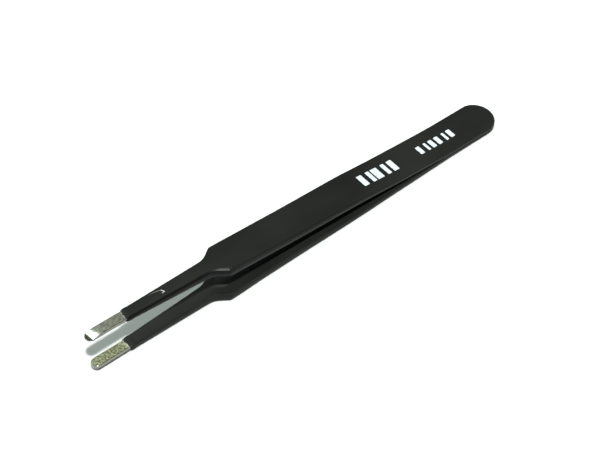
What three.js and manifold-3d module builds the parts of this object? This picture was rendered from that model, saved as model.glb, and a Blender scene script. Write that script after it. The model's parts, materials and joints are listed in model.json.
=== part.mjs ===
// Precision tweezers with flat round tips, lying on one side. Millimetres, +Z up.
// The arms are laid out in an arm frame: x runs from the heel end to the tips, y across the arms, and
// z away from the plane between them. The upper arm is on the +z side, and the lower arm is the upper
// one turned half a turn about x. The finished pair is then tilted onto its lower side.
import * as THREE from "three";
import { mergeVertices } from "three/addons/utils/BufferGeometryUtils.js";
import Module from "manifold-3d";

// Lengths along the arm, from the heel end.
const LENGTH = 120;
const HEEL_CAP = 4.35; // length of the half-elliptical heel end
const WELD_END = 16.5; // the arms part here
const PIVOT_X = 27.5; // where the thin stretch of an arm bends
const TAPER_X = 32;
const SHOULDER_X = 84.1;
const BARE_TIP = 9.7; // uncoated steel

// Half widths of the steel blank.
const HEEL_HALF = 4.71;
const SHOULDER_HALF = 4.1;
const NECK_HALF = 1.88;
const TIP_HALF = 1.4;

// The shoulder runs down a straight ramp and then a fillet to the neck.
const RAMP_SLOPE = Math.tan(THREE.MathUtils.degToRad(35));
const FILLET_RADIUS = 4.6;

// Heights of the steel's outer and inner faces above the middle plane, as [x, height].
const OUTER_FACE = [
  [0, 0.75],
  [WELD_END, 0.75],
  [24, 1.15],
  [34, 1.75],
  [46, 3],
  [64, 3.9],
  [SHOULDER_X, 5.26],
  [93, 5.39],
  [LENGTH - BARE_TIP, 5.59],
  [LENGTH, 5.65],
];
const INNER_FACE = [
  [0, 0.01],
  [WELD_END, 0.01],
  [24, 0.51],
  [34, 1.06],
  [46, 1.8],
  [64, 2.22],
  [SHOULDER_X, 3.08],
  [93, 3.68],
  [LENGTH - BARE_TIP, 4.59],
  [LENGTH, 4.68],
];
const BEND_EASE = 2.2; // each bend of a face is eased over this much either way

const COAT = 0.12; // thickness of the coating
const CLEARANCE = 0.02; // between steel and coating, and between nugget and steel
const STEEL_CORNER = 0.2;
const COAT_CORNER = 0.32;
const CUT = 0.1; // the bending line is cut this wide, so that the two rigid halves turn freely

const NUGGET_RADIUS = 1.1;
const NUGGET_HALF_HEIGHT = 0.4;
const NUGGET_PLACES = [4.6, 8.8, 13];

// Printed marks: plain bars in two rows, each row centred across the arm.
const INK_THICKNESS = 0.03;
const FRONT_ROW = { start: 31.2, pitch: 2.35, bars: [1.5, 1.1, 1.9, 1.1, 1.5], half: 1.8 };
const REAR_ROW = { start: 12.5, pitch: 1.98, bars: [1.2, 0.7, 1.2, 1.2, 0.7, 1.2], half: 1.3 };

const STEP = 2.6; // spacing of cross-sections along straight stretches
const CURVE_STEPS = 6; // cross-sections on each curved stretch
const FACE_SAMPLES = 4; // samples either way when a bend is eased
const HEEL_START = 0.06; // a round end stops this far short, in a small flat
const TIP_SHORT = 0.03;

const rampRun = FILLET_RADIUS * Math.sin(Math.atan(RAMP_SLOPE));
const rampDrop = FILLET_RADIUS * (1 - Math.cos(Math.atan(RAMP_SLOPE)));
const RAMP_END = SHOULDER_X + (SHOULDER_HALF - NECK_HALF - rampDrop) / RAMP_SLOPE;
const NECK_X = RAMP_END + rampRun;
const COAT_END = LENGTH - BARE_TIP;

const wasm = await Module();
wasm.setup();

// Straight lines through [x, height] points, with each bend eased.
function faceHeight(points) {
  const straight = (x) => {
    let k = 1;
    while (k < points.length - 1 && x > points[k][0]) k++;
    const [x0, z0] = points[k - 1];
    const [x1, z1] = points[k];
    return z0 + ((z1 - z0) * (x - x0)) / (x1 - x0);
  };
  return (x) => {
    let sum = 0;
    for (let k = -FACE_SAMPLES; k <= FACE_SAMPLES; k++) {
      sum += straight(x + (BEND_EASE * k) / FACE_SAMPLES);
    }
    return sum / (2 * FACE_SAMPLES + 1);
  };
}

const outerFace = faceHeight(OUTER_FACE);
const innerFace = faceHeight(INNER_FACE);

// Half width of the outline at x, grown sideways and at the round ends by grow.
function halfWidth(x, grow) {
  if (x < HEEL_CAP) {
    const cap = HEEL_CAP - COAT + grow;
    const run = Math.min((HEEL_CAP - x) / cap, 1);
    return (HEEL_HALF + grow) * Math.sqrt(1 - run * run);
  }
  if (x < SHOULDER_X) {
    const share = Math.max(0, (x - TAPER_X) / (SHOULDER_X - TAPER_X));
    return THREE.MathUtils.lerp(HEEL_HALF, SHOULDER_HALF, share) + grow;
  }
  if (x < RAMP_END) return SHOULDER_HALF - (x - SHOULDER_X) * RAMP_SLOPE + grow;
  if (x < NECK_X) {
    const run = NECK_X - x;
    return NECK_HALF + FILLET_RADIUS - Math.sqrt(FILLET_RADIUS ** 2 - run ** 2) + grow;
  }
  if (x < COAT_END) {
    return THREE.MathUtils.lerp(NECK_HALF, TIP_HALF, (x - NECK_X) / (COAT_END - NECK_X)) + grow;
  }
  const run = Math.max(0, x - (LENGTH - TIP_HALF));
  return Math.sqrt(Math.max(0, TIP_HALF ** 2 - run ** 2)) + grow;
}

// Rounded rectangle in y and z, as a ring of points.
function roundedSection(half, low, high, radius) {
  const r = Math.min(radius, 0.45 * half, 0.45 * (high - low));
  const corners = [
    [half - r, high - r],
    [r - half, high - r],
    [r - half, low + r],
    [half - r, low + r],
  ];
  const ring = [];
  corners.forEach(([y, z], quarter) => {
    for (let k = 0; k <= 2; k++) {
      const angle = ((quarter + k / 2) * Math.PI) / 2;
      ring.push([y + r * Math.cos(angle), z + r * Math.sin(angle)]);
    }
  });
  return ring;
}

// A closed body through the rings that section(x) gives at each x, with flat ends.
function loft(xs, section) {
  const rings = xs.map((x) => section(x).map(([y, z]) => [x, y, z]));
  const count = rings[0].length;
  const positions = rings.flat(2);
  const index = [];
  for (let i = 0; i + 1 < rings.length; i++) {
    for (let j = 0; j < count; j++) {
      const a = i * count + j;
      const b = i * count + ((j + 1) % count);
      index.push(a, b, a + count, b, b + count, a + count);
    }
  }
  const last = (rings.length - 1) * count;
  for (let j = 1; j + 1 < count; j++) {
    index.push(0, j + 1, j, last, last + j, last + j + 1);
  }
  const geometry = new THREE.BufferGeometry();
  geometry.setAttribute("position", new THREE.Float32BufferAttribute(positions, 3));
  geometry.setIndex(index);
  return geometry;
}

// Evenly spaced values from a to b, no further apart than step.
function spread(a, b, step) {
  const count = Math.max(1, Math.ceil((b - a) / step));
  return Array.from({ length: count + 1 }, (_, k) => a + ((b - a) * k) / count);
}

// Places of the cross-sections between two ends, closer together at the caps, shoulder and fillet.
function stations(from, to, grow) {
  const all = [];
  const heelStart = COAT - grow;
  for (let k = 0; k <= CURVE_STEPS; k++) {
    const turn = ((k + 0.4) / (CURVE_STEPS + 0.4)) * (Math.PI / 2);
    all.push(heelStart + (HEEL_CAP - heelStart) * (1 - Math.cos(turn)));
    all.push(LENGTH - TIP_HALF * (1 - Math.cos(turn)));
    all.push(NECK_X - rampRun * (k / CURVE_STEPS));
  }
  all.push(...spread(HEEL_CAP, SHOULDER_X, STEP));
  all.push(...spread(NECK_X, COAT_END, 2 * STEP), LENGTH - TIP_HALF);
  const inside = all.filter((x) => x > from + 0.05 && x < to - 0.05).sort((a, b) => a - b);
  const apart = inside.filter((x, k) => k === 0 || x - inside[k - 1] > 0.01);
  return [from, ...apart, to];
}

// The solid of one arm between two ends, grown by grow on all sides.
function armGeometry(from, to, grow, corner) {
  const section = (x) =>
    roundedSection(halfWidth(x, grow), innerFace(x) - grow, outerFace(x) + grow, corner);
  return loft(stations(from, to, grow), section);
}

function solid(geometry) {
  const bare = geometry.clone();
  bare.deleteAttribute("normal");
  bare.deleteAttribute("uv");
  const merged = mergeVertices(bare, 1e-5);
  const vertProperties = new Float32Array(merged.attributes.position.array);
  const triVerts = new Uint32Array(merged.index.array);
  return new wasm.Manifold(new wasm.Mesh({ numProp: 3, vertProperties, triVerts }));
}

function fromSolid(body) {
  const mesh = body.getMesh();
  const geometry = new THREE.BufferGeometry();
  geometry.setAttribute("position", new THREE.BufferAttribute(mesh.vertProperties, 3));
  geometry.setIndex(new THREE.BufferAttribute(mesh.triVerts, 1));
  return geometry;
}

// The same geometry on the lower arm.
function lower(geometry) {
  return geometry.clone().rotateX(Math.PI);
}

const steel = { color: 0xb9b9ae, roughness: 0.32, metalness: 1 };
const nuggetSteel = { color: 0x8f8f8a, roughness: 0.5, metalness: 1 };
const coating = { color: 0x202321, roughness: 0.62, metalness: 0 };
const ink = { color: 0xf2f4f2, roughness: 0.6, metalness: 0 };

const heelEnd = PIVOT_X - CUT / 2;
const bladeStart = PIVOT_X + CUT / 2;

function nuggetGeometry(radius, halfHeight) {
  return new THREE.CylinderGeometry(radius, radius, 2 * halfHeight, 20).rotateX(Math.PI / 2);
}

// The rear of an arm's steel, with a pocket for half of each weld nugget.
function heelSteel() {
  let body = solid(armGeometry(COAT + HEEL_START, heelEnd, 0, STEEL_CORNER));
  for (const x of NUGGET_PLACES) {
    const pocket = nuggetGeometry(NUGGET_RADIUS + CLEARANCE, NUGGET_HALF_HEIGHT + CLEARANCE);
    body = body.subtract(solid(pocket.translate(x, 0, 0)));
  }
  return fromSolid(body);
}

function bladeSteel() {
  return armGeometry(bladeStart, LENGTH - TIP_SHORT, 0, STEEL_CORNER);
}

// One skin over both arms at the heel, which forks where the arms part.
function heelCoating() {
  const outside = armGeometry(HEEL_START, heelEnd, COAT, COAT_CORNER);
  const inside = armGeometry(COAT + HEEL_START - CLEARANCE, heelEnd + 1, CLEARANCE, STEEL_CORNER);
  const shell = solid(outside).add(solid(lower(outside)));
  return fromSolid(shell.subtract(solid(inside)).subtract(solid(lower(inside))));
}

function bladeCoating() {
  const outside = armGeometry(bladeStart, COAT_END, COAT, COAT_CORNER);
  const inside = armGeometry(bladeStart - 1, COAT_END + 1, CLEARANCE, STEEL_CORNER);
  return fromSolid(solid(outside).subtract(solid(inside)));
}

// A thin bar of ink that follows the coating's outer face.
function inkBar(from, length, half) {
  const lift = COAT + CLEARANCE;
  const section = (x) => {
    const low = outerFace(x) + lift;
    const high = low + INK_THICKNESS;
    return [
      [half, high],
      [-half, high],
      [-half, low],
      [half, low],
    ];
  };
  return loft(spread(from, from + length, STEP), section);
}

const arms = new THREE.Group();

function addPiece(name, geometry, look) {
  const mesh = new THREE.Mesh(geometry, new THREE.MeshStandardMaterial(look));
  mesh.name = name;
  arms.add(mesh);
}

function addPair(name, geometry, look) {
  addPiece(`upper_${name}`, geometry, look);
  addPiece(`lower_${name}`, lower(geometry), look);
}

function addRow(name, row) {
  row.bars.forEach((length, k) => {
    const from = row.start + k * row.pitch;
    addPiece(`${name}_${k + 1}`, inkBar(from, length, row.half), ink);
  });
}

addPair("arm_heel", heelSteel(), steel);
addPair("arm_blade", bladeSteel(), steel);
NUGGET_PLACES.forEach((x, k) => {
  const nugget = nuggetGeometry(NUGGET_RADIUS, NUGGET_HALF_HEIGHT).translate(x, 0, 0);
  addPiece(`weld_nugget_${k + 1}`, nugget, nuggetSteel);
});
addPiece("heel_coating", heelCoating(), coating);
addPair("blade_coating", bladeCoating(), coating);
addRow("front_mark", FRONT_ROW);
addRow("rear_mark", REAR_ROW);

// Tilt onto the lower side, which then rests on the heel end and the shoulder, and turn the tips to -X.
const heelRest = [HEEL_START, outerFace(HEEL_START) + COAT];
const shoulderRest = [SHOULDER_X, outerFace(SHOULDER_X) + COAT];
arms.rotation.y = -Math.atan2(shoulderRest[1] - heelRest[1], shoulderRest[0] - heelRest[0]);

const tweezers = new THREE.Group();
tweezers.name = "precision_tweezers";
tweezers.rotation.z = Math.PI;
tweezers.add(arms);

// Origin at the middle of the footprint, on the surface that the tweezers lie on.
const extent = new THREE.Box3().setFromObject(tweezers, true);
const middle = extent.getCenter(new THREE.Vector3());
tweezers.position.set(-middle.x, -middle.y, -extent.min.z);
tweezers.updateMatrixWorld(true);

export default tweezers;
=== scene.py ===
import json
import math

import bmesh
import bpy
import numpy as np
from mathutils import Matrix, Vector


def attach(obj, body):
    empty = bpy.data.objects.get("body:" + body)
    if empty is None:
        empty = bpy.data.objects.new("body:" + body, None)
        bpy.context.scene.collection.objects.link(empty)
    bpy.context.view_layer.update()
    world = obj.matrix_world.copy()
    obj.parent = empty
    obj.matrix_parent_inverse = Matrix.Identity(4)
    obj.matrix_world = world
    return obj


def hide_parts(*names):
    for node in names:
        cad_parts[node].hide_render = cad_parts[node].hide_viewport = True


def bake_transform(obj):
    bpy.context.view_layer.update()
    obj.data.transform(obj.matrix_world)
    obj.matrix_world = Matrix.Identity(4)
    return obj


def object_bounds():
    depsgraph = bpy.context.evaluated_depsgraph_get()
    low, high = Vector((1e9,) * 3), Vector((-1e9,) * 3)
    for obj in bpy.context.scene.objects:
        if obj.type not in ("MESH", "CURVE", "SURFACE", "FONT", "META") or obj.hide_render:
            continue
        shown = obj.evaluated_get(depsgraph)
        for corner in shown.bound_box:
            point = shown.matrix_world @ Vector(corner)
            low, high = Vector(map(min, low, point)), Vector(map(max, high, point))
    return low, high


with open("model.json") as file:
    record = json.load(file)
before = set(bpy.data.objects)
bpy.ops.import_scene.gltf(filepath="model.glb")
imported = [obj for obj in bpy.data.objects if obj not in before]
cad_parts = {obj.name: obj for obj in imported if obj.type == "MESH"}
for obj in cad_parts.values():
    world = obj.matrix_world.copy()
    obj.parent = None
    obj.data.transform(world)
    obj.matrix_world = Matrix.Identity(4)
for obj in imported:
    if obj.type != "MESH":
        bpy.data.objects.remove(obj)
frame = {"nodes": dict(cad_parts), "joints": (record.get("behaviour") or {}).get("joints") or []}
cad_low, cad_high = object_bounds()

# Lengths are in millimetres in the arm frame: x from the heel end to the tips, y across the arms, and
# z away from the plane between them. The camera's side is at +y on the upper arm, and at -y on the
# lower arm, which is the upper one turned over about x. MM turns them into metres.
MM = 0.001

# Places along the arm.
LENGTH = 120.0
HEEL_START = 0.06
HEEL_CAP = 4.35
WELD_END = 16.5
PIVOT_X = 27.5
TAPER_X = 32.0
SHOULDER_X = 84.1
BARE_TIP = 9.7
COAT_END = LENGTH - BARE_TIP

# Half widths of the steel blank, and the ramp from the shoulder down to the neck.
HEEL_HALF = 4.71
SHOULDER_HALF = 4.1
NECK_HALF = 1.88
TIP_HALF = 1.4
RAMP_SLOPE = math.tan(math.radians(35))
FILLET_RADIUS = 4.6

# Thickness of the coating, and the gap that is left between it and the steel.
COAT = 0.12
CLEARANCE = 0.02

# Heights of the blank's outer and inner faces, as (x, z). Both run on past its ends.
OUTER_FACE = [
    (-9, 0.75), (WELD_END, 0.75), (24, 1.15), (34, 1.75), (46, 3), (64, 3.9),
    (SHOULDER_X, 5.26), (93, 5.39), (COAT_END, 5.59), (LENGTH, 5.65), (129, 5.705),
]
INNER_FACE = [
    (-9, 0.01), (WELD_END, 0.01), (24, 0.51), (34, 1.06), (46, 1.8), (64, 2.22),
    (SHOULDER_X, 3.08), (93, 3.68), (COAT_END, 4.59), (LENGTH, 4.68), (129, 4.763),
]

# The bends in those faces and in the outline are rounded by averaging over this far on each side.
BEND_EASE = 2.2
BEND_SAMPLES = 41
OUTLINE_EASE = 0.3
OUTLINE_SAMPLES = 15

# The side walls are rounded: their radius is this many times half the thickness there, and their
# middle stands out by this share of half the thickness.
COAT_ROUNDNESS = 3.3
NECK_ROUNDNESS = 4.4
STEEL_ROUNDNESS = 1.5
SWELL = 0.1

# The printed bars: where a row starts, the distance from one bar to the next, each bar's length along
# the arm, and half its width across it.
MARK_LIFT = 0.004
MARK_THICKNESS = 0.03
FRONT_ROW = {"start": 31.2, "pitch": 2.35, "bars": [1.5, 1.1, 1.9, 1.1, 1.5], "half": 1.8}
REAR_ROW = {"start": 12.5, "pitch": 1.98, "bars": [1.2, 0.7, 1.2, 1.2, 0.7, 1.2], "half": 1.3}


# The arm frame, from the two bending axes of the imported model.
joints = {j["name"]: j for j in frame["joints"]}
upper_pivot = Vector(joints["upper_arm_flex"]["pos_m"])
lower_pivot = Vector(joints["lower_arm_flex"]["pos_m"])
AWAY = (upper_pivot - lower_pivot).normalized()
ACROSS = Vector((0, -1, 0))
ALONG = ACROSS.cross(AWAY)
MID_PIVOT = (upper_pivot + lower_pivot) / 2
TO_ROW = Matrix((ALONG, ACROSS, AWAY)).transposed()


def place(points, side=1):
    """Arm-frame points in mm on the upper (1) or lower (-1) arm, as row-frame points in metres."""
    local = np.array(points, float) * (1, side, side) - (PIVOT_X, 0, 0)
    return local @ np.array(TO_ROW).T * MM + np.array(MID_PIVOT)


def face_height(points):
    """The height of a face as a function of x, with its bends rounded."""
    xs, zs = zip(*points)
    offsets = np.linspace(-BEND_EASE, BEND_EASE, BEND_SAMPLES)

    def height(x):
        x = np.asarray(x, float)
        return np.mean([np.interp(x + d, xs, zs) for d in offsets], axis=0)

    return height


outer_face = face_height(OUTER_FACE)
inner_face = face_height(INNER_FACE)

ramp_run = FILLET_RADIUS * math.sin(math.atan(RAMP_SLOPE))
ramp_drop = FILLET_RADIUS * (1 - math.cos(math.atan(RAMP_SLOPE)))
RAMP_END = SHOULDER_X + (SHOULDER_HALF - NECK_HALF - ramp_drop) / RAMP_SLOPE
NECK_X = RAMP_END + ramp_run


def side_line(x):
    """Half width of the steel blank between its round ends."""
    taper = np.interp(x, [TAPER_X, SHOULDER_X], [HEEL_HALF, SHOULDER_HALF])
    ramp = SHOULDER_HALF - (x - SHOULDER_X) * RAMP_SLOPE
    run = np.clip(NECK_X - x, 0, ramp_run)
    fillet = NECK_HALF + FILLET_RADIUS - np.sqrt(FILLET_RADIUS**2 - run**2)
    neck = np.interp(x, [NECK_X, COAT_END], [NECK_HALF, TIP_HALF])
    return np.select([x < SHOULDER_X, x < RAMP_END, x < NECK_X], [taper, ramp, fillet], neck)


def half_width(x):
    offsets = np.linspace(-OUTLINE_EASE, OUTLINE_EASE, OUTLINE_SAMPLES)
    return np.mean([side_line(x + d) for d in offsets], axis=0)


def ease(t):
    """0 up to 0, 1 from 1 on, and smooth between."""
    t = np.clip(t, 0, 1)
    return t * t * (3 - 2 * t)


def nothing(x):
    return 0 * x


HEEL_END_STEPS = 34
TIP_END_STEPS = 28
SHORTEST_STEP = 0.02


def outline(start, end, step, grow, tip_extra=0.0):
    """Points (x, y) along one side from the heel to the tip, and their outward normals.

    They are spaced by step(x) and stand out by grow(x) from the blank's own outline. The end of the
    tip is longer by tip_extra.
    """
    points = []
    if start <= HEEL_START:
        for t in np.linspace(0, math.pi / 2, HEEL_END_STEPS)[:-1]:
            g = float(grow(np.array(0.0)))
            long = HEEL_CAP - HEEL_START + g
            points.append((HEEL_CAP - long * math.cos(t), (HEEL_HALF + g) * math.sin(t)))
    last = min(end, LENGTH - TIP_HALF)
    xs = [max(start, HEEL_CAP)]
    while xs[-1] < last - SHORTEST_STEP:
        xs.append(min(last, xs[-1] + step(xs[-1])))
    xs = np.array(xs)
    points += list(zip(xs, half_width(xs) + grow(xs)))
    if end >= LENGTH:
        half = points[-1][1]
        for t in np.linspace(0, math.pi / 2, TIP_END_STEPS)[1:]:
            points.append((last + (LENGTH - last) * math.sin(t), half * math.cos(t)))
    points = np.array(points)
    points[:, 0] += tip_extra * ease((points[:, 0] - COAT_END) / BARE_TIP)
    tangents = np.gradient(points, axis=0)
    if start <= HEEL_START:
        tangents[0] = (0, 1)
    if end >= LENGTH:
        tangents[-1] = (0, -1)
    normals = np.stack([-tangents[:, 1], tangents[:, 0]], axis=1)
    return points, normals / np.linalg.norm(normals, axis=1, keepdims=True)


# A corner is two arcs of this many points, with the bevel between them if there is one. Its radius is
# limited to this share of half the thickness.
CORNER_STEPS = 6
CORNER_LIMIT = 0.85
WALL_STEPS = 9
BEVEL_ANGLE = math.radians(62.5)


def sections(points, normals, faces, corners, roundness, flat_steps, bevel=nothing):
    """Cross-sections through the outline points, as an array [station, place round it, (x, y, z)].

    Each runs from the middle of the outer face round the +y side to the middle of the inner face and
    back along the -y side. The corners are the radii at the outer and the inner face, and the bevel is
    cut at the outer one. The second result is each place's height as a share of the thickness.
    """
    top, bottom = faces
    x0, y0 = points[:, 0], points[:, 1]
    nx, ny = normals[:, 0], normals[:, 1]
    half = (top(x0) - bottom(x0)) / 2
    middle = (top(x0) + bottom(x0)) / 2
    big = roundness(x0) * half
    quarter_turn = np.linspace(0, 1, CORNER_STEPS)
    halves = []
    for corner, cut in ((corners[0](x0), bevel(x0)), (corners[1](x0), nothing(x0))):
        edge = half - cut * math.cos(BEVEL_ANGLE)
        r = np.minimum(corner, CORNER_LIMIT * edge)
        start = big - np.sqrt((big - r) ** 2 - (edge - r) ** 2)
        inset = start + cut * math.sin(BEVEL_ANGLE)
        tilt = np.arcsin((edge - r) / (big - r))
        places = []
        for u in np.linspace(0, 1, flat_steps)[:-1]:
            places.append((inset, half, u))
        for t in quarter_turn:
            angle = math.pi / 2 + (BEVEL_ANGLE - math.pi / 2) * t
            places.append((inset - r * math.cos(angle), half - r + r * math.sin(angle), None))
        for t in quarter_turn:
            angle = BEVEL_ANGLE + (tilt - BEVEL_ANGLE) * t
            places.append((start - r * np.cos(angle), edge - r + r * np.sin(angle), None))
        for t in np.linspace(1, 0, WALL_STEPS + 2)[1:-1]:
            angle = tilt * t
            places.append((big - big * np.cos(angle), big * np.sin(angle), None))
        halves.append(places)
    lower = [(d, -z, u) for d, z, u in halves[1][::-1]]
    near = []
    shares = []
    for d, z, u in halves[0] + [(0 * half, 0 * half, None)] + lower:
        x = x0 - d * nx
        y = np.maximum(y0 - d * ny, 0)
        if u is not None:
            y = y * u
        share = (1 + z / half) / 2
        rise = share * (top(x) - top(x0)) + (1 - share) * (bottom(x) - bottom(x0))
        near.append(np.stack([x, y, middle + z + rise], axis=1))
        shares.append(share)
    near = np.stack(near, axis=1)
    shares = np.stack(shares, axis=1)
    far = near[:, -2:0:-1] * (1, -1, 1)
    return np.concatenate([near, far], axis=1), np.concatenate([shares, shares[:, -2:0:-1]], axis=1)


def joined_sides(arm, camera_side, far_side):
    """One set of sections from two: the first is kept on the camera's side, the second on the other."""
    middle = camera_side[0].shape[1] // 2 + 1
    first, second = (camera_side, far_side) if arm == "upper" else (far_side, camera_side)
    return [np.concatenate([a[:, :middle], b[:, middle:]], axis=1) for a, b in zip(first, second)]


# Points closer together than this many metres become one.
MERGE_DISTANCE = 4e-8


def grid_mesh(name, grid, side, cap_start=False, attributes=None):
    """A closed mesh through rows of equal length. Rows that lie flat on themselves close its ends."""
    rows, count = grid.shape[:2]
    bm = bmesh.new()
    layers = {}
    for key, values in (attributes or {}).items():
        layers[key] = (bm.verts.layers.float.new(key), values.reshape(-1))
    verts = [bm.verts.new(p) for p in place(grid.reshape(-1, 3), side)]
    for layer, values in layers.values():
        for vert, value in zip(verts, values):
            vert[layer] = float(value)
    for i in range(rows - 1):
        for j in range(count):
            a, b = i * count + j, i * count + (j + 1) % count
            bm.faces.new((verts[a], verts[b], verts[b + count], verts[a + count]))
    if cap_start:
        bm.faces.new(verts[:count])
    bmesh.ops.remove_doubles(bm, verts=bm.verts, dist=MERGE_DISTANCE)
    bmesh.ops.recalc_face_normals(bm, faces=bm.faces)
    for face in bm.faces:
        face.smooth = True
    mesh = bpy.data.meshes.new(name)
    bm.to_mesh(mesh)
    bm.free()
    piece = bpy.data.objects.new(name, mesh)
    bpy.context.scene.collection.objects.link(piece)
    return piece


# The coating swells a little before it ends, and thins down to its edge.
LIP_START = COAT_END - 2.0
LIP_CREST = COAT_END - 1.1
LIP_SWELL = 0.055
LIP_EDGE = 0.05
LIP_CURVE = 2.2

# Half the gaps that are left between the arms' coatings, and between their linings, at the heel.
COAT_SEAM = 0.004
LINING_SEAM = 0.006


def coat_thickness(x):
    swell = LIP_SWELL * ease((x - LIP_START) / (LIP_CREST - LIP_START))
    along = np.clip((x - LIP_CREST) / (COAT_END - LIP_CREST), 0, 1)
    return COAT + swell - (COAT + LIP_SWELL - LIP_EDGE) * along**LIP_CURVE


def coat_top(x):
    return outer_face(x) + coat_thickness(x)


def coat_bottom(x):
    return np.maximum(inner_face(x) - coat_thickness(x), COAT_SEAM)


def coat_grow(x):
    """How far the coating's walls stand out from the blank's outline."""
    return coat_thickness(x) + SWELL * (coat_top(x) - coat_bottom(x)) / 2


def lining_top(x):
    return outer_face(x) + CLEARANCE


def lining_bottom(x):
    return np.maximum(inner_face(x) - CLEARANCE, LINING_SEAM)


def fixed(value):
    return lambda x: value + 0 * x


NECK_CHANGE_START = 86
NECK_CHANGE_LENGTH = 6


def widening(start, end):
    """One value on the grip that changes to another on the neck."""
    return lambda x: start + (end - start) * ease((x - NECK_CHANGE_START) / NECK_CHANGE_LENGTH)


coat_roundness = widening(COAT_ROUNDNESS, NECK_ROUNDNESS)

# Corner radii of the coating, first at the outer face and then at the inner one, and of the steel.
# The camera's side of each arm is worn rounder than the far side.
GRIP_CORNER = 0.2
NECK_CORNER = {"upper": 0.7, "lower": 0.5}
FAR_NECK_CORNER = 0.38
INNER_CORNER = {"upper": 0.1, "lower": 0.04}
INNER_NECK_CORNER = 0.3
STEEL_CORNER = 0.15
STEEL_NECK_CORNER = 0.6
TIP_CORNER = 0.12

# A bevel is filed along the camera's side of each shoulder ramp. It is widest at the shoulder.
RAMP_BEVEL = {"upper": 0.6, "lower": 0.15}
BEVEL_LEAD = 0.35
BEVEL_RISE = 0.5
BEVEL_LENGTH = 8.5


def ramp_bevel(arm):
    """Width of the bevel along an arm, as a function of x."""

    def width(x):
        rise = ease((x - SHOULDER_X + BEVEL_LEAD) / BEVEL_RISE)
        return RAMP_BEVEL[arm] * rise * np.clip(1 - (x - SHOULDER_X) / BEVEL_LENGTH, 0, 1)

    return width


def between(x, rise_start, rise, fall_start, fall):
    """Rises smoothly from 0 to 1 over one stretch and falls back to 0 over another."""
    return ease((x - rise_start) / rise) * (1 - ease((x - fall_start) / fall))


# The two blanks don't quite lie over each other: the lower arm's shoulder is nearer its tip by this
# many millimetres, and stands out on the camera's side by this share of its half width. Each span says
# where that starts, over what length it rises, where it ends, and over what length it falls.
SHOULDER_SHIFT = {"upper": 0.0, "lower": 0.25}
SHIFT_SPAN = (77, 6, 89, 7)
SHOULDER_FLARE = {"upper": 0.0, "lower": 0.035}
FLARE_SPAN = (74, 8, 85, 5)


def move_shoulder(grid, arm):
    x, y = grid[:, :, 0], grid[:, :, 1]
    flare = SHOULDER_FLARE[arm] * between(x, *FLARE_SPAN)
    grid[:, :, 1] = np.where(y < 0, y * (1 + flare), y)
    grid[:, :, 0] = x + SHOULDER_SHIFT[arm] * between(x, *SHIFT_SPAN)


# How light the coating's faces are, as (x, tone). The lower arm is painted lighter round its shoulder, as
# painted light where its inner face is lit.
FACE_TONES = [
    (0, 0.4), (20, 0.5), (28, 0.75), (44, 0.15), (54, 0.2), (62, 0.6), (84, 0.55), (93, 0.9), (110, 0.8),
]
LOWER_SHOULDER_PAINTED_LIGHT = 0.5
LOWER_SHOULDER_MIDDLE = 81
LOWER_SHOULDER_WIDTH = 6


def face_tone(arm, x):
    tones = np.interp(x, *zip(*FACE_TONES))
    if arm == "upper":
        return tones
    # The lower arm's shoulder gets painted light.
    away = (x - LOWER_SHOULDER_MIDDLE) / LOWER_SHOULDER_WIDTH
    return tones + LOWER_SHOULDER_PAINTED_LIGHT * np.exp(-(away**2))


# The coating's side walls are painted darker beside its faces, as painted shade, from 0 to 1. The upper
# arm's walls darken in two steps: (amount, start, length).
UPPER_WALL_SHADES = [(0.7, 28, 30), (0.3, 78, 10)]
LOWER_WALL_SHADE = 0.15


def wall_shade(arm, x):
    if arm == "lower":
        return LOWER_WALL_SHADE + nothing(x)
    return sum(amount * ease((x - start) / length) for amount, start, length in UPPER_WALL_SHADES)


# Spacing of the cross-sections. It is finer at the shoulder, in the hollow and at the coating's end,
# as (start, end, step), and on the bare tips.
COARSE_STEP = 0.8
SHOULDER_ZONE = (81.5, 92, 0.22)
FINE_ZONES = [SHOULDER_ZONE, (98.6, 105, 0.12), (LIP_START - 0.4, LENGTH, 0.1)]
TIP_STEP = 0.16


def coat_step(x):
    for start, end, step in FINE_ZONES:
        if start < x < end:
            return step
    return COARSE_STEP


def lining_step(x):
    return COARSE_STEP / 2 if x > SHOULDER_ZONE[0] else 2 * COARSE_STEP


def blade_step(x):
    return TIP_STEP if x > COAT_END - 0.6 else COARSE_STEP


def waves(terms, u, v):
    """A sum of sine waves. Each term is (height, rate along u, rate along v, phase)."""
    return sum(height * np.sin(a * u + b * v + phase) for height, a, b, phase in terms)


def near_line(x, y, line, width):
    """1 on a line through the given points, down to 0 at the width from it."""
    gap = np.full(x.shape, np.inf)
    for (x1, y1), (x2, y2) in zip(line, line[1:]):
        t = np.clip(((x - x1) * (x2 - x1) + (y - y1) * (y2 - y1)) / ((x2 - x1) ** 2 + (y2 - y1) ** 2), 0, 1)
        gap = np.minimum(gap, np.hypot(x - x1 - t * (x2 - x1), y - y1 - t * (y2 - y1)))
    return 1 - ease(gap / width)


# The upper arm's neck was ground flat before it was coated. The hollow starts at a slanting step, and a
# light line is painted along the hook there as a painted highlight. A fainter painted highlight runs on
# along the hollow's far edge, and there are three small pits beside it, painted as dark as the walls. Lines
# and pits are in (x, y).
HOLLOW_DEPTH = 0.08
HOLLOW_EDGE = 0.22
HOLLOW_TIP = (99.45, 0.23)
HOOK_HIGHLIGHT = [(99.84, -0.55), HOLLOW_TIP, (100.12, 0.27)]
FAR_EDGE_HIGHLIGHT = [(99.84, -0.55), (100.47, -0.8), (101.43, -0.98), (103.2, -1.13)]
HIGHLIGHT_WIDTH = 0.11
FAR_HIGHLIGHT_STRENGTH = 0.22
FAR_HIGHLIGHT_FADE_START = 101
FAR_HIGHLIGHT_FADE_LENGTH = 2.6
PITS = [(100.64, 0.74), (99.47, 1.38), (98.77, 0.05)]
PIT_SPREAD = 0.012
PIT_DEPTH = 0.03

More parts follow.
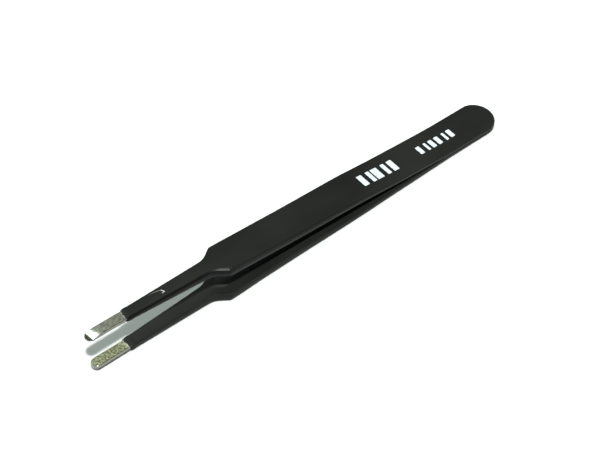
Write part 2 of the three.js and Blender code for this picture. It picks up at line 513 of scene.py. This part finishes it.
# The hollow's edges in plan: its rear one slants from the hook's tip, its far one runs through a point
# at a slant, and its near one widens and softens from a place on. It fades out towards the tip.
REAR_SLANT = 0.5
FAR_POINT = (100.5, -0.86)
FAR_SLANT = 0.11
NEAR_Y = 0.42
NEAR_WIDENS = 100.2
NEAR_WIDENING = 0.5
NEAR_SOFTENING = 1.5
HOLLOW_FADE_START = 102
HOLLOW_FADE_LENGTH = 5


def hollow(x, y):
    """Depth of the ground hollow below the upper arm's outer face."""
    rear = ease((x - HOLLOW_TIP[0] - REAR_SLANT * (HOLLOW_TIP[1] - y)) / HOLLOW_EDGE)
    far = ease((y - FAR_POINT[1] + FAR_SLANT * (x - FAR_POINT[0])) / HOLLOW_EDGE)
    softness = HOLLOW_EDGE + NEAR_SOFTENING * np.clip(x - NEAR_WIDENS, 0, 2)
    near = ease((NEAR_Y - y + NEAR_WIDENING * np.clip(x - NEAR_WIDENS, 0, 4)) / softness)
    fade = 1 - ease((x - HOLLOW_FADE_START) / HOLLOW_FADE_LENGTH)
    return HOLLOW_DEPTH * rear * far * near * fade


# The coating's edge lies this far forward, slants across the arm, and wavers. The upper arm's has a
# notch on its near wall: a line in (y, height from the middle), and the notch's half width.
LIP_FORWARD = 0.1
LIP_SLANT = {"upper": 0.12, "lower": 0.1}
LIP_WAVES = [(0.07, 4.1, 3.0, 1), (0.06, 9.7, -5.0, 0)]
NOTCH_DEPTH = {"upper": 0.4, "lower": 0.0}
NOTCH_LINE = [(1.42, 0.5), (1.42, 1.2)]
NOTCH_WIDTH = 0.3


def ragged_lip(grid, arm):
    """Moves the coating's last rows along the arm, so that its edge slants and wavers."""
    x, y = grid[:, :, 0], grid[:, :, 1]
    height = grid[:, :, 2] - grid[:, :, 2].mean(axis=1, keepdims=True)
    notch = NOTCH_DEPTH[arm] * near_line(y, height, NOTCH_LINE, NOTCH_WIDTH)
    shift = LIP_FORWARD + LIP_SLANT[arm] * y + waves(LIP_WAVES, y, height) - notch
    grid[:, :, 0] = x + shift * ease((x - LIP_START) / (COAT_END - LIP_START))
    return grid


# Colours, painted shade included, change from a wall's to a face's within this share of the thickness.
COAT_EDGE_SHARE = 0.04
STEEL_EDGE_SHARE = 0.03

# Points from the middle of a face to its corner.
COAT_FLAT_STEPS = 24
BLADE_FLAT_STEPS = 16

# The coating's inner faces are painted lighter, as painted fill light in the shade between the arms, from
# this far inside their edges, and up to the shoulder.
FILL_LIGHT_INSET = 1.9
FILL_LIGHT_FADE_START = 82
FILL_LIGHT_FADE_LENGTH = 6


def on_wall(share, edge):
    """1 on the side walls and 0 on the faces."""
    return ease(share / edge) * ease((1 - share) / edge)


def coat_outside(arm):
    points, normals = outline(HEEL_START, COAT_END, coat_step, coat_grow)
    faces = (coat_top, coat_bottom)
    inner = widening(INNER_CORNER[arm], INNER_NECK_CORNER)
    near_corners = (widening(GRIP_CORNER, NECK_CORNER[arm]), inner)
    far_corners = (widening(GRIP_CORNER, FAR_NECK_CORNER), inner)
    shape = (coat_roundness, COAT_FLAT_STEPS)
    near = sections(points, normals, faces, near_corners, *shape, ramp_bevel(arm))
    far = sections(points, normals, faces, far_corners, *shape)
    return joined_sides(arm, near, far)


def coat_lining(arm):
    points, normals = outline(HEEL_START, COAT_END, lining_step, fixed(CLEARANCE))
    faces = (lining_top, lining_bottom)
    corner = fixed(STEEL_CORNER)
    shape = (fixed(STEEL_ROUNDNESS), COAT_FLAT_STEPS)
    near_corners = (widening(STEEL_CORNER, STEEL_NECK_CORNER), corner)
    near = sections(points, normals, faces, near_corners, *shape, ramp_bevel(arm))
    far = sections(points, normals, faces, (corner, corner), *shape)
    return joined_sides(arm, near, far)[0]


def coat_grid(arm):
    """The coating's outside and lining as one closed grid, and how each point is coloured, painted shade
    and light included.
    """
    outside, share = coat_outside(arm)
    inside = coat_lining(arm)
    move_shoulder(outside, arm)
    move_shoulder(inside, arm)
    x, y = outside[:, :, 0], outside[:, :, 1]
    # Painted shade on the side walls.
    wall = wall_shade(arm, x) * on_wall(share, COAT_EDGE_SHARE)
    painted_highlight = np.zeros(x.shape)
    # The upper arm gets painted highlights along the hook and the hollow's far edge, and its pits take the
    # walls' dark colour.
    if arm == "upper":
        face = ease((share - 0.85) / 0.1)
        fade = 1 - ease((x - FAR_HIGHLIGHT_FADE_START) / FAR_HIGHLIGHT_FADE_LENGTH)
        far_highlight = FAR_HIGHLIGHT_STRENGTH * near_line(x, y, FAR_EDGE_HIGHLIGHT, HIGHLIGHT_WIDTH) * fade
        painted_highlight = np.maximum(near_line(x, y, HOOK_HIGHLIGHT, HIGHLIGHT_WIDTH), far_highlight) * face
        pits = sum(np.exp(-((x - a) ** 2 + (y - b) ** 2) / PIT_SPREAD) for a, b in PITS) * face
        wall = np.clip(wall + pits, 0, 1)
        outside[:, :, 2] -= hollow(x, y) * face + PIT_DEPTH * pits
    # Painted fill light deep on the inner faces.
    inset = half_width(x) - np.abs(y)
    fill_light = ease((COAT_EDGE_SHARE - share) / COAT_EDGE_SHARE) * ease(inset - FILL_LIGHT_INSET)
    fill_light = fill_light * (1 - ease((x - FILL_LIGHT_FADE_START) / FILL_LIGHT_FADE_LENGTH))
    finish_and_painted_light = {"painted_highlight": painted_highlight, "side": wall, "tone": face_tone(arm, x), "fill_light": fill_light}
    hidden = np.zeros(inside.shape[:2])
    grid = np.concatenate([ragged_lip(outside, arm), ragged_lip(inside[::-1].copy(), arm)])
    return grid, {key: np.concatenate([value, hidden]) for key, value in finish_and_painted_light.items()}


# The bare tips were ground by hand: the upper one slopes down to a facet at its end. The start of the
# slope and the facet's edge slant across the tip, and the slope's start is ragged.
TIP_EXTRA = {"upper": 0.45, "lower": -0.25}
TIP_SWELL = 0.03
SLOPE_START = 117.9
SLOPE_SLANT = 0.4
SLOPE_SOFTNESS = 0.45
SLOPE_FALL = math.tan(math.radians(9.5))
SLOPE_WAVES = [(0.12, 7, 0, 0), (0.08, 13, 0, 1)]
FACET_LENGTH = 1.0
FACET_SLANT = 0.15
FACET_SOFTNESS = 0.1
FACET_FALL = math.tan(math.radians(35))

# The slope is painted brighter from here to the facet, as a painted highlight, and each blade is brighter
# bare steel where the coating chipped off.
SLOPE_HIGHLIGHT_START = 117.7
SLOPE_HIGHLIGHT_RISE = 0.7
SLOPE_HIGHLIGHT_FALL = 0.2
CHIP_SHINE = 0.4
CHIP_LENGTH = 0.5

# The side walls are painted darker, as painted shade, below this share of the upper blade's height, and
# above this share of the lower one's, which is upside down. Either way a light rim is left along the upper
# edge.
UPPER_SHADE = 0.76
LOWER_SHADE = 0.34
SHADE_EDGE = 0.1

# The faces of the bare tips aren't quite flat.
FACE_WAVES = [(0.003, 2.3, 2.6, 0), (0.003, -3.7, 4.1, 0)]


def soft_ramp(t, softness):
    """0 before 0 and t after it, with a rounded start."""
    return (t + np.sqrt(t**2 + softness**2)) / 2


def bare(x):
    """0 under the coating and 1 on the bare tip."""
    return ease((x - LIP_CREST) / 1.5)


def blade_corner(x):
    """Radius of a blade's near outer corner."""
    return widening(STEEL_CORNER, STEEL_NECK_CORNER)(x) * (1 - bare(x)) + TIP_CORNER * bare(x)


def blade_grow(x):
    return TIP_SWELL * ease(x - COAT_END)


def blade_grid(arm):
    """The steel blade, and how each point is coloured, painted shade and highlight included."""
    end = LENGTH + TIP_EXTRA[arm]
    points, normals = outline(PIVOT_X, LENGTH, blade_step, blade_grow, TIP_EXTRA[arm])
    faces = (outer_face, inner_face)
    corner = fixed(TIP_CORNER)
    shape = (fixed(STEEL_ROUNDNESS), BLADE_FLAT_STEPS)
    near = sections(points, normals, faces, (blade_corner, corner), *shape, ramp_bevel(arm))
    far = sections(points, normals, faces, (corner, corner), *shape)
    grid, share = joined_sides(arm, near, far)
    move_shoulder(grid, arm)
    x, y, z = grid[:, :, 0], grid[:, :, 1], grid[:, :, 2]
    if arm == "upper":
        slope_start = SLOPE_START - SLOPE_SLANT * y + waves(SLOPE_WAVES, y, x)
        slope = soft_ramp(x - slope_start, SLOPE_SOFTNESS) * SLOPE_FALL
        facet_start = end - FACET_LENGTH - FACET_SLANT * y
        facet = soft_ramp(x - facet_start, FACET_SOFTNESS) * (FACET_FALL - SLOPE_FALL)
        grid[:, :, 2] = z - (slope + facet) * share**2
        # The slope's painted highlight.
        slope_highlight = ease((x - SLOPE_HIGHLIGHT_START + SLOPE_SLANT * y) / SLOPE_HIGHLIGHT_RISE)
        slope_highlight = slope_highlight * (1 - ease((x - facet_start) / SLOPE_HIGHLIGHT_FALL)) * ease((share - 0.8) / 0.1)
        shaded = ease((UPPER_SHADE - share) / SHADE_EDGE)
    else:
        slope_highlight = nothing(x)
        shaded = ease((share - LOWER_SHADE) / SHADE_EDGE)
    grid[:, :, 2] += waves(FACE_WAVES, x, y) * (2 * share - 1) * ease((x - COAT_END) / 1.5)
    chipped = CHIP_SHINE * (1 - ease((x - COAT_END - 0.1) / CHIP_LENGTH))
    finish_and_painted_light = {
        "inner": 1 - ease(share / STEEL_EDGE_SHARE),
        "wall": shaded * on_wall(share, STEEL_EDGE_SHARE),
        "chips_and_highlight": np.maximum(chipped, slope_highlight),
    }
    return grid, finish_and_painted_light


# A printed bar: the radius of its corners, and its rows from the middle of its underside over its
# edge to the middle of its top, as (size, height as a share of the thickness).
MARK_CORNER = 0.2
MARK_CORNER_STEPS = 6
MARK_ROWS = [(0, 0), (0.5, 0), (1, 0), (1, 0.6), (0.97, 1), (0.7, 1), (0.35, 1), (0, 1)]


def bar_piece(name, start, length, half):
    """One printed bar with round corners, lying on the upper arm's coating."""
    edge = []
    for dx, dy, quarter in ((1, 1, 0), (-1, 1, 1), (-1, -1, 2), (1, -1, 3)):
        for k in range(MARK_CORNER_STEPS):
            angle = (quarter + k / (MARK_CORNER_STEPS - 1)) * math.pi / 2
            x = dx * (length / 2 - MARK_CORNER) + MARK_CORNER * math.cos(angle)
            y = dy * (half - MARK_CORNER) + MARK_CORNER * math.sin(angle)
            edge.append((x, y))
    edge = np.array(edge)
    rows = []
    for size, lift in MARK_ROWS:
        x, y = (edge * size).T
        x = x + start + length / 2
        rows.append(np.stack([x, y, coat_top(x) + MARK_LIFT + MARK_THICKNESS * lift], axis=1))
    return grid_mesh(name, np.array(rows), 1)


def add_material(name):
    material = bpy.data.materials.new(name)
    material.use_nodes = True
    return material, material.node_tree, material.node_tree.nodes["Principled BSDF"]


def add_noise(tree, scale, detail, stretch=(1, 1, 1)):
    """Noise in the object's own coordinates, with its scale in features per metre."""
    where = tree.nodes.new("ShaderNodeTexCoord")
    mapping = tree.nodes.new("ShaderNodeMapping")
    mapping.inputs["Scale"].default_value = stretch
    noise = tree.nodes.new("ShaderNodeTexNoise")
    noise.inputs["Scale"].default_value = scale
    noise.inputs["Detail"].default_value = detail
    tree.links.new(where.outputs["Object"], mapping.inputs["Vector"])
    tree.links.new(mapping.outputs["Vector"], noise.inputs["Vector"])
    return noise.outputs["Fac"]


def add_tone(tree, value, low, high, start=0.3, stop=0.7):
    """A colour that goes from low to high as the value goes from start to stop."""
    tone = tree.nodes.new("ShaderNodeValToRGB")
    tone.color_ramp.elements[0].position = start
    tone.color_ramp.elements[0].color = (*low, 1)
    tone.color_ramp.elements[1].position = stop
    tone.color_ramp.elements[1].color = (*high, 1)
    tree.links.new(value, tone.inputs["Fac"])
    return tone.outputs["Color"]


def add_range(tree, value, low, high, start=0.3, stop=0.7):
    """A number that goes from low to high as the value goes from start to stop."""
    scale = tree.nodes.new("ShaderNodeMapRange")
    scale.inputs["From Min"].default_value = start
    scale.inputs["From Max"].default_value = stop
    scale.inputs["To Min"].default_value = low
    scale.inputs["To Max"].default_value = high
    tree.links.new(value, scale.inputs["Value"])
    return scale.outputs["Result"]


def add_mix(tree, amount, low, high):
    """The colour low where the amount is 0 and high where it is 1."""
    mix = tree.nodes.new("ShaderNodeMix")
    mix.data_type = "RGBA"
    tree.links.new(amount, mix.inputs["Factor"])
    tree.links.new(low, mix.inputs[6])
    tree.links.new(high, mix.inputs[7])
    return mix.outputs[2]


def add_bump(tree, shader, height, depth):
    """Bumps of the height's pattern, with their depth in metres."""
    bump = tree.nodes.new("ShaderNodeBump")
    bump.inputs["Strength"].default_value = 1.0
    bump.inputs["Distance"].default_value = depth
    tree.links.new(height, bump.inputs["Height"])
    tree.links.new(bump.outputs["Normal"], shader.inputs["Normal"])


def add_attribute(tree, name):
    """One of the colour masks, painted shade and light among them, that the mesh carries at its points."""
    attribute = tree.nodes.new("ShaderNodeAttribute")
    attribute.attribute_name = name
    return attribute.outputs["Fac"]


TONE_AMOUNT = 0.6


def coating_material():
    """Black baked coating: uneven tone over centimetres and fine orange peel, with painted shade on the
    walls, painted fill light on the inner faces and painted highlights along the hollow.
    """
    material, tree, shader = add_material("black_coating")
    broad = add_noise(tree, 46, 2, (1, 2, 2))
    fine = add_noise(tree, 2600, 3)
    peel = add_noise(tree, 4200, 3)
    shade = tree.nodes.new("ShaderNodeMath")
    shade.operation = "MULTIPLY_ADD"
    shade.inputs[1].default_value = TONE_AMOUNT
    tree.links.new(add_attribute(tree, "tone"), shade.inputs[0])
    tree.links.new(add_range(tree, broad, 0.0, 0.4, 0.36, 0.64), shade.inputs[2])
    face = add_tone(tree, shade.outputs["Value"], (0.0070, 0.0080, 0.0074), (0.0155, 0.0165, 0.0140), 0, 1)
    # Near-black colour for the side walls, as painted shade, laid on where the side attribute is 1.
    wall = add_tone(tree, broad, (0.0028, 0.0032, 0.0030), (0.0040, 0.0045, 0.0042), 0.34, 0.66)
    # Grey for the painted fill light on the inner faces' shaded middles.
    inside = add_tone(tree, broad, (0.040, 0.042, 0.041), (0.055, 0.058, 0.056), 0.34, 0.66)
    dark = add_mix(tree, add_attribute(tree, "side"), face, wall)
    dark = add_mix(tree, add_attribute(tree, "fill_light"), dark, inside)
    # Light grey for the painted highlights along the hook and the hollow's far edge.
    light = add_tone(tree, fine, (0.55, 0.56, 0.54), (0.80, 0.81, 0.79))
    painted_highlight = add_attribute(tree, "painted_highlight")
    tree.links.new(add_mix(tree, painted_highlight, dark, light), shader.inputs["Base Color"])
    tree.links.new(add_range(tree, fine, 0.28, 0.36), shader.inputs["Roughness"])
    add_bump(tree, shader, peel, 0.000006)
    shader.inputs["Specular IOR Level"].default_value = 0.08
    return material


def tip_material():
    """Ground steel: the outer face is streaked, the inner face pitted and duller; painted shade darkens the
    walls, and a painted highlight lightens the upper tip's slope.
    """
    material, tree, shader = add_material("ground_steel")
    scratch = add_noise(tree, 1500, 5, (0.5, 2, 2))
    pits = add_noise(tree, 2100, 4)
    face = add_tone(tree, scratch, (0.24, 0.24, 0.20), (0.38, 0.38, 0.32))
    inner = add_tone(tree, pits, (0.12, 0.115, 0.055), (0.45, 0.44, 0.305), 0.36, 0.62)
    # Darker steel for the walls, as painted shade.
    wall = add_tone(tree, scratch, (0.15, 0.15, 0.14), (0.22, 0.22, 0.20))
    # Bright steel for the chips, and for the slope's painted highlight.
    chips_and_highlight = add_tone(tree, pits, (0.55, 0.55, 0.52), (0.85, 0.85, 0.82))
    colour = add_mix(tree, add_attribute(tree, "inner"), face, inner)
    colour = add_mix(tree, add_attribute(tree, "chips_and_highlight"), colour, chips_and_highlight)
    colour = add_mix(tree, add_attribute(tree, "wall"), colour, wall)
    tree.links.new(colour, shader.inputs["Base Color"])
    tree.links.new(add_range(tree, pits, 0.28, 0.17), shader.inputs["Roughness"])
    add_bump(tree, shader, pits, 0.000008)
    shader.inputs["Metallic"].default_value = 1.0
    return material


def plain_steel_material():
    """The steel of the carried-over parts between and under the coatings."""
    material, tree, shader = add_material("plain_steel")
    grain = add_noise(tree, 1500, 5, (1, 4, 4))
    colour = add_tone(tree, grain, (0.42, 0.42, 0.40), (0.60, 0.60, 0.58))
    tree.links.new(colour, shader.inputs["Base Color"])
    tree.links.new(add_range(tree, grain, 0.35, 0.5), shader.inputs["Roughness"])
    add_bump(tree, shader, grain, 0.000008)
    shader.inputs["Metallic"].default_value = 1.0
    return material


def ink_material():
    """White printing ink, thinner in places so that the black shows through a little."""
    material, tree, shader = add_material("white_ink")
    cover = add_noise(tree, 2600, 3)
    ink_tone = add_tone(tree, cover, (0.36, 0.41, 0.43), (0.58, 0.64, 0.67), 0.3, 0.52)
    tree.links.new(ink_tone, shader.inputs["Base Color"])
    tree.links.new(add_range(tree, cover, 0.6, 0.48), shader.inputs["Roughness"])
    add_bump(tree, shader, cover, 0.000008)
    shader.inputs["Specular IOR Level"].default_value = 0.25
    return material


def floor_material():
    material, tree, shader = add_material("white_floor")
    shader.inputs["Base Color"].default_value = (0.655, 0.67, 0.66, 1)
    shader.inputs["Roughness"].default_value = 0.9
    shader.inputs["Specular IOR Level"].default_value = 0.05
    return material


coating = coating_material()
ground_steel = tip_material()
plain_steel = plain_steel_material()
ink = ink_material()


def dress(piece, material):
    piece.data.materials.clear()
    piece.data.materials.append(material)


for arm, side in (("upper", 1), ("lower", -1)):
    grid, finish_and_painted_light = coat_grid(arm)
    skin = grid_mesh(f"{arm}_coating", grid, side, attributes=finish_and_painted_light)
    dress(skin, coating)
    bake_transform(skin)
    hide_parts("heel_coating", f"{arm}_blade_coating")
    grid, finish_and_painted_light = blade_grid(arm)
    blade = grid_mesh(f"{arm}_steel", grid, side, cap_start=True, attributes=finish_and_painted_light)
    dress(blade, ground_steel)
    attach(blade, f"{arm}_blade")
    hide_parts(f"{arm}_arm_blade")

for row_name, row in (("front_mark", FRONT_ROW), ("rear_mark", REAR_ROW)):
    for k, length in enumerate(row["bars"]):
        node = f"{row_name}_{k + 1}"
        bar = bar_piece(f"{node}_ink", row["start"] + k * row["pitch"], length, row["half"])
        dress(bar, ink)
        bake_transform(bar)
        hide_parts(node)

for node, piece in frame["nodes"].items():
    if not piece.hide_render:
        piece.data.materials.clear()
        piece.data.materials.append(plain_steel)


# Floor, light and camera.
FLOOR_REACH = 4.0
FLOOR_GAP = 0.00002
floor_corners = [(x * FLOOR_REACH, y * FLOOR_REACH, 0) for x, y in ((-1, -1), (1, -1), (1, 1), (-1, 1))]
floor_mesh = bpy.data.meshes.new("floor")
floor_mesh.from_pydata(floor_corners, [], [(0, 1, 2, 3)])
floor = bpy.data.objects.new("floor", floor_mesh)
bpy.context.scene.collection.objects.link(floor)
floor.data.materials.append(floor_material())
floor.location.z = cad_low.z - FLOOR_GAP


def direction(azimuth, elevation):
    """A unit vector away from the tweezers. Azimuth 0 looks along +Y, and 90 looks along -X."""
    a, e = math.radians(azimuth), math.radians(elevation)
    return Vector((math.sin(a) * math.cos(e), -math.cos(a) * math.cos(e), math.sin(e)))


KEY_DIRECTION = direction(-19.35, 67.7)
KEY_ENERGY = 3.5
KEY_WIDTH = math.radians(4.5)
key = bpy.data.lights.new("key", "SUN")
key.energy = KEY_ENERGY
key.angle = KEY_WIDTH
key_light = bpy.data.objects.new("key", key)
key_light.rotation_mode = "QUATERNION"
key_light.rotation_quaternion = KEY_DIRECTION.to_track_quat("Z", "Y")
key_light.location = KEY_DIRECTION
bpy.context.scene.collection.objects.link(key_light)

# The studio round the object: a dim room, and three glows in it. Each glow is (aim, full, none,
# strength, colour): it has its strength within full degrees of the aim and fades out at none degrees.
ROOM_COLOUR = (0.92, 1.0, 0.95)
ROOM_STRENGTH = 0.07
SOFT_BOX = ((-0.12, 0.45, 0.88), 14, 31, 1.85, (0.88, 1.0, 0.92))
FAR_GLOW = ((0.45, 0.51, 0.73), 12, 34, 0.16, (0.92, 1.0, 0.95))
PALE_HORIZON = ((0, 0, -1), 90, 102, 0.8, (0.96, 1.0, 0.97))

world = bpy.data.worlds.new("studio")
bpy.context.scene.world = world
world.use_nodes = True
sky = world.node_tree
room = sky.nodes["Background"]
room.inputs["Color"].default_value = (*ROOM_COLOUR, 1)
room.inputs["Strength"].default_value = ROOM_STRENGTH
sky_direction = sky.nodes.new("ShaderNodeTexCoord").outputs["Generated"]


def add_glow(total, aim, full, none, strength, colour):
    """The total light with one more glow added to it."""
    turn = sky.nodes.new("ShaderNodeVectorMath")
    turn.operation = "DOT_PRODUCT"
    turn.inputs[1].default_value = Vector(aim).normalized()
    fade = sky.nodes.new("ShaderNodeMapRange")
    fade.interpolation_type = "SMOOTHSTEP"
    fade.inputs["From Min"].default_value = math.cos(math.radians(none))
    fade.inputs["From Max"].default_value = math.cos(math.radians(full))
    fade.inputs["To Max"].default_value = strength
    glow = sky.nodes.new("ShaderNodeBackground")
    glow.inputs["Color"].default_value = (*colour, 1)
    add = sky.nodes.new("ShaderNodeAddShader")
    sky.links.new(sky_direction, turn.inputs[0])
    sky.links.new(turn.outputs["Value"], fade.inputs["Value"])
    sky.links.new(fade.outputs["Result"], glow.inputs["Strength"])
    sky.links.new(total, add.inputs[0])
    sky.links.new(glow.outputs["Background"], add.inputs[1])
    return add.outputs["Shader"]


total = room.outputs["Background"]
for glow in (SOFT_BOX, FAR_GLOW, PALE_HORIZON):
    total = add_glow(total, *glow)
sky.links.new(total, sky.nodes["World Output"].inputs["Surface"])

# The camera's place is given by its angles in degrees and its distance in millimetres from the middle
# of the length. Its aim is moved from there by AIM_SHIFT, to the left and down.
CAMERA_AZIMUTH = -37.26
CAMERA_ELEVATION = 50.27
CAMERA_ROLL = -2.49
CAMERA_DISTANCE = 387.84
CAMERA_LENS = 99.58
SENSOR_WIDTH = 36.0
AIM_SHIFT = (0.425, 0.119)
EXPOSURE = 0.45

camera_data = bpy.data.cameras.new("camera")
camera_data.lens = CAMERA_LENS
camera_data.sensor_width = SENSOR_WIDTH
camera_data.clip_start = 0.01
camera = bpy.data.objects.new("camera", camera_data)
camera.rotation_mode = "QUATERNION"
back = direction(CAMERA_AZIMUTH, CAMERA_ELEVATION)
turn = back.to_track_quat("Z", "Y") @ Matrix.Rotation(math.radians(CAMERA_ROLL), 4, "Z").to_quaternion()
camera.rotation_quaternion = turn
target = Vector(place([(LENGTH / 2, 0, 0)])[0])
right, up = turn @ Vector((1, 0, 0)), turn @ Vector((0, 1, 0))
camera.location = target - (AIM_SHIFT[0] * right + AIM_SHIFT[1] * up - CAMERA_DISTANCE * back) * MM
bpy.context.scene.collection.objects.link(camera)
bpy.context.scene.camera = camera
bpy.context.scene.view_settings.view_transform = "Standard"
bpy.context.scene.view_settings.exposure = EXPOSURE
